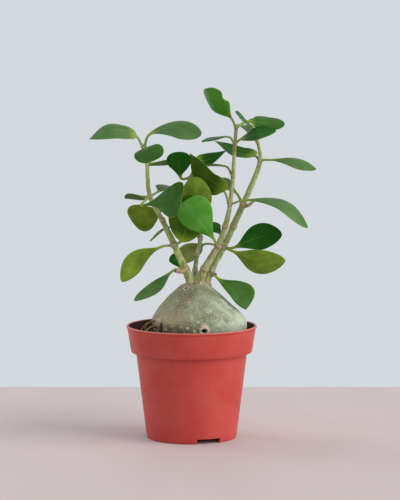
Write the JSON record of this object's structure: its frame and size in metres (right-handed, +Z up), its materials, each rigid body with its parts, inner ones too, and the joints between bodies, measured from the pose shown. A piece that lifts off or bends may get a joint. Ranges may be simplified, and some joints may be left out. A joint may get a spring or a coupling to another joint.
{
  "type": "potted ant plant",
  "caption": "Caudex plant with a smooth swollen base, slender upright stems and thick opposite leaves, growing in a tapered plastic nursery pot.",
  "frame": {"origin": "middle of the footprint of the bounding box, at the ground under the pot; the pot's axis is 8 mm towards -X from it", "axes": "+Z up, -Y towards the side that the plant shows as its front, +X to that side's right"},
  "size_m": [0.1544, 0.09, 0.2419],
  "materials": {
    "pot_plastic": "satin",
    "potting_mix": "matte",
    "caudex_skin": "matte",
    "stem_bark": "satin",
    "leaf_green": "satin"
  },
  "bodies": {
    "root": {"pot": "pot_plastic", "soil": "potting_mix", "caudex": "caudex_skin", "left_stem": "stem_bark", "middle_stem": "stem_bark", "front_right_stem": "stem_bark", "back_right_stem": "stem_bark", "leaf_left_5_west": "leaf_green", "leaf_left_5_east": "leaf_green", "leaf_left_4_front": "leaf_green", "leaf_left_4_back": "leaf_green", "leaf_left_3_west": "leaf_green", "leaf_left_3_front": "leaf_green", "leaf_left_3_back": "leaf_green", "leaf_left_2_west": "leaf_green", "leaf_left_2_front": "leaf_green", "leaf_left_1_west": "leaf_green", "leaf_left_1_back": "leaf_green", "leaf_middle_2_west": "leaf_green", "leaf_middle_1_west": "leaf_green", "leaf_middle_1_front": "leaf_green", "leaf_middle_3_west": "leaf_green", "leaf_middle_3_east": "leaf_green", "leaf_front_2_west": "leaf_green", "leaf_front_2_back": "leaf_green", "leaf_front_2_north": "leaf_green", "leaf_front_4_west": "leaf_green", "leaf_front_4_east": "leaf_green", "leaf_front_5_west": "leaf_green", "leaf_front_6_west": "leaf_green", "leaf_front_6_east": "leaf_green", "leaf_front_7_west": "leaf_green", "leaf_front_7_east": "leaf_green", "leaf_back_1_east": "leaf_green", "leaf_back_2_east": "leaf_green", "leaf_back_2_south": "leaf_green", "leaf_back_4_west": "leaf_green", "leaf_back_5_west": "leaf_green", "leaf_back_5_east": "leaf_green", "leaf_back_6_north": "leaf_green", "leaf_back_7_west": "leaf_green", "leaf_back_7_east": "leaf_green"}
  },
  "joints": []
}
